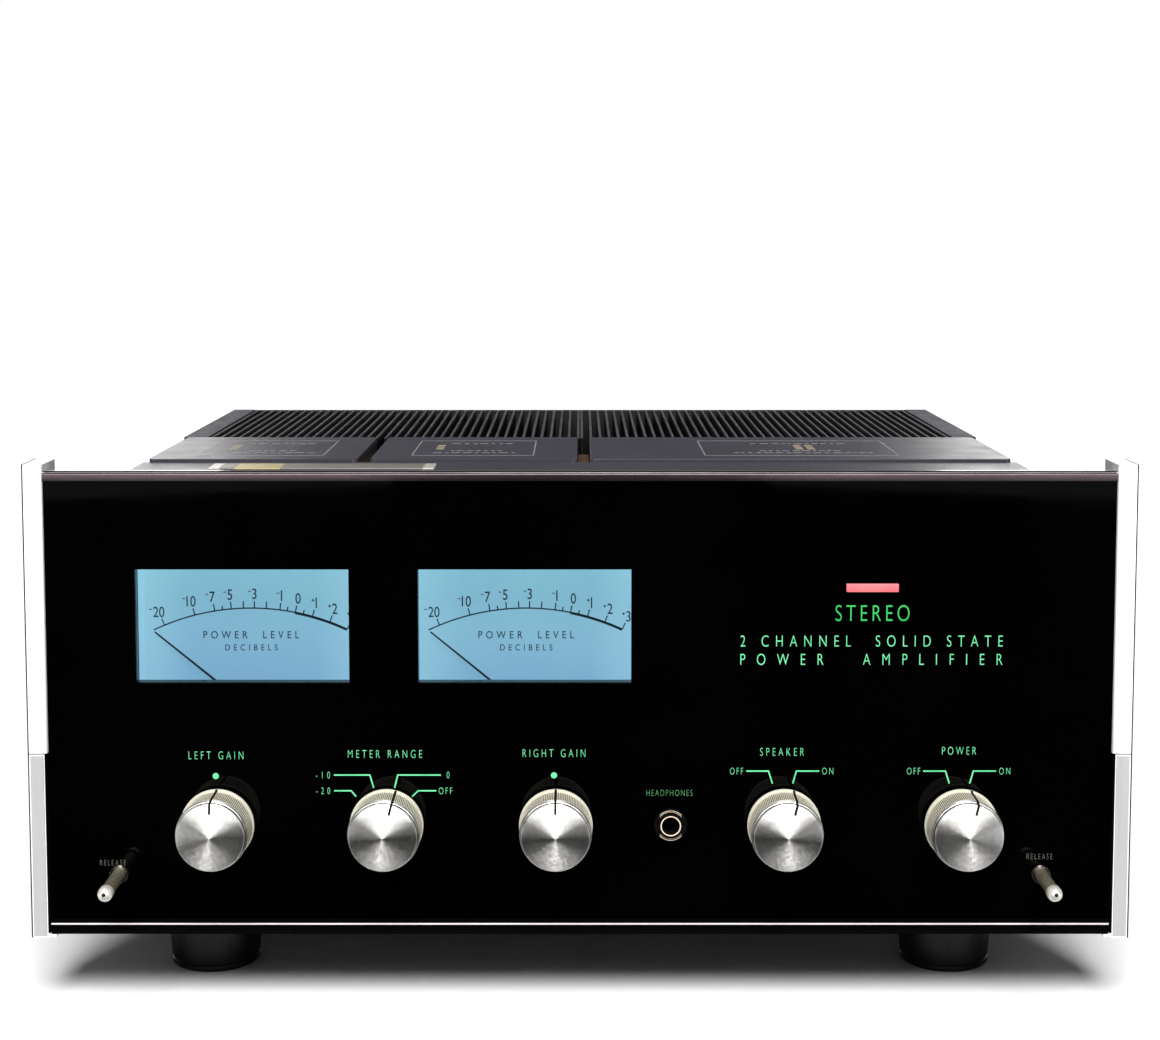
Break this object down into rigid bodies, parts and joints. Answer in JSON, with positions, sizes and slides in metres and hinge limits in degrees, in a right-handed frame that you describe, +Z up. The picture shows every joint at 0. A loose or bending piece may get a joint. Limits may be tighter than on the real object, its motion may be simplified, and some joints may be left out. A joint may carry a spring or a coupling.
{
  "type": "stereo power amplifier",
  "caption": "Tabletop stereo power amplifier with a black glass front, back-lit needle meters, spun metal knobs, transformer cans and finned heat sinks on top",
  "frame": {"origin": "On the floor, in the middle of the bounding box", "axes": "+X to the right seen from the front, +Y to the back, +Z up; the front faces -Y"},
  "size_m": [0.4112, 0.391, 0.2054],
  "materials": {
    "black_glass": "plate glass painted black on its back, polished front",
    "black_tray": "matt black moulded tray",
    "bright_trim": "brushed and anodised, fine lengthwise lines",
    "end_cap_metal": "polished and clear anodised",
    "plated_steel": "zinc plated sheet",
    "black_case": "moulded black case",
    "dial_blue": "back-lit pale blue printed dial",
    "lamp_glass": "frosted tubular lamps",
    "red_lens": "translucent red",
    "control_body": "plated shell",
    "wafer": "phenolic wafers",
    "nickel": "nickel plated",
    "grey_paint": "smooth blue-grey enamel",
    "black_paint": "fine satin black enamel",
    "label_metal": "thin plate, pale gold and silver fields",
    "laminations": "varnished laminations",
    "winding_wire": "taped and varnished copper winding",
    "black_anodised": "black anodised extrusion",
    "transistor_metal": "plated steel cans",
    "board": "phenolic board",
    "capacitor_sleeve": "plastic sleeve",
    "phenolic_black": "moulded phenolic",
    "foot_plastic": "satin black moulded foot",
    "screw_steel": "blued steel",
    "knob_metal": "spun face, fluted skirt",
    "needle_paint": "black painted needle",
    "spring_steel": "spring wire",
    "slide_plastic": "moulded slide"
  },
  "bodies": {
    "chassis": {"front_glass": "black_glass", "light_box": "black_tray", "top_trim": "bright_trim", "bottom_trim": "bright_trim", "end_cap_left": "end_cap_metal", "end_cap_right": "end_cap_metal", "front_subpanel": "plated_steel", "meter_cases": "black_case", "meter_dials": "dial_blue", "panel_lamps": "lamp_glass", "pilot_lens": "red_lens", "gain_pots": "control_body", "rotary_switches": "wafer", "bush_nuts": "nickel", "headphone_jack": "nickel", "pin_guides": "nickel", "side_wall_left": "grey_paint", "side_wall_right": "grey_paint", "bottom_cover": "plated_steel", "rear_panel": "black_paint", "top_deck": "grey_paint", "label_plate": "label_metal", "can_left": "grey_paint", "can_middle": "grey_paint", "can_right": "grey_paint", "transformer_cores": "laminations", "transformer_windings": "winding_wire", "heat_sink_left": "black_anodised", "heat_sink_right": "black_anodised", "output_transistors": "transistor_metal", "circuit_boards": "board", "filter_capacitors": "capacitor_sleeve", "input_jacks": "nickel", "speaker_strips": "phenolic_black", "terminal_screws": "nickel", "fuse_holder": "phenolic_black", "ac_outlets": "phenolic_black", "cord_gland": "phenolic_black", "feet": "foot_plastic", "chassis_screws": "screw_steel", "release_spring_left": "spring_steel", "release_spring_right": "spring_steel"},
    "left_gain_control": {"knob_left_gain": "knob_metal", "shaft_left_gain": "nickel"},
    "meter_range_control": {"knob_meter_range": "knob_metal", "shaft_meter_range": "nickel"},
    "right_gain_control": {"knob_right_gain": "knob_metal", "shaft_right_gain": "nickel"},
    "speaker_control": {"knob_speaker": "knob_metal", "shaft_speaker": "nickel"},
    "power_control": {"knob_power": "knob_metal", "shaft_power": "nickel"},
    "meter_pointer_left": {"pointer_left": "needle_paint"},
    "release_pin_left_body": {"release_pin_left": "nickel"},
    "latch_left_body": {"latch_left": "plated_steel"},
    "meter_pointer_right": {"pointer_right": "needle_paint"},
    "release_pin_right_body": {"release_pin_right": "nickel"},
    "latch_right_body": {"latch_right": "plated_steel"},
    "fuse_cap_body": {"fuse_cap": "phenolic_black"},
    "mode_switch_body": {"mode_switch": "slide_plastic"}
  },
  "joints": [
    {"name": "left_gain_turn", "type": "hinge", "parent": "chassis", "child": "left_gain_control", "pos_m": [-0.135, -0.1705, 0.0704], "axis": [0, 1, 0], "range_deg": [-150, 150]},
    {"name": "meter_range_turn", "type": "hinge", "parent": "chassis", "child": "meter_range_control", "pos_m": [-0.072, -0.1705, 0.0704], "axis": [0, 1, 0], "range_deg": [-60, 30]},
    {"name": "right_gain_turn", "type": "hinge", "parent": "chassis", "child": "right_gain_control", "pos_m": [-0.009, -0.1705, 0.0704], "axis": [0, 1, 0], "range_deg": [-150, 150]},
    {"name": "speaker_turn", "type": "hinge", "parent": "chassis", "child": "speaker_control", "pos_m": [0.076, -0.1705, 0.0704], "axis": [0, 1, 0], "range_deg": [-30, 0]},
    {"name": "power_turn", "type": "hinge", "parent": "chassis", "child": "power_control", "pos_m": [0.142, -0.1705, 0.0704], "axis": [0, 1, 0], "range_deg": [-30, 0]},
    {"name": "meter_left_swing", "type": "hinge", "parent": "chassis", "child": "meter_pointer_left", "pos_m": [-0.1253, -0.1525, 0.1092], "axis": [0, 1, 0], "range_deg": [0, 101], "stiffness_Nm_per_rad": 0.0002, "springref_deg": -17.19},
    {"name": "meter_right_swing", "type": "hinge", "parent": "chassis", "child": "meter_pointer_right", "pos_m": [-0.0205, -0.1525, 0.1092], "axis": [0, 1, 0], "range_deg": [0, 101], "stiffness_Nm_per_rad": 0.0002, "springref_deg": -17.19},
    {"name": "release_left_push", "type": "slide", "parent": "chassis", "child": "release_pin_left_body", "axis": [0, 1, 0], "range_m": [0, 0.008], "stiffness_N_per_m": 500, "springref_m": -0.006, "deforming": ["release_spring_left"]},
    {"name": "latch_left_swing", "type": "hinge", "parent": "chassis", "child": "latch_left_body", "pos_m": [-0.1545, -0.1002, 0.051], "axis": [0, 0, -1], "range_deg": [0, 25.5]},
    {"name": "release_right_push", "type": "slide", "parent": "chassis", "child": "release_pin_right_body", "axis": [0, 1, 0], "range_m": [0, 0.008], "stiffness_N_per_m": 500, "springref_m": -0.006, "deforming": ["release_spring_right"]},
    {"name": "latch_right_swing", "type": "hinge", "parent": "chassis", "child": "latch_right_body", "pos_m": [0.1545, -0.1002, 0.051], "axis": [0, 0, 1], "range_deg": [0, 25.5]},
    {"name": "fuse_cap_turn", "type": "hinge", "parent": "chassis", "child": "fuse_cap_body", "pos_m": [0.1, 0.1735, 0.112], "axis": [0, 1, 0], "range_deg": [0, 45]},
    {"name": "mode_switch_slide", "type": "slide", "parent": "chassis", "child": "mode_switch_body", "axis": [1, 0, 0], "range_m": [0, 0.006]}
  ],
  "couplings": [
    {"joint": "latch_left_swing", "follows": "release_left_push", "rad_per_m": 55.5},
    {"joint": "latch_right_swing", "follows": "release_right_push", "rad_per_m": 55.5}
  ]
}
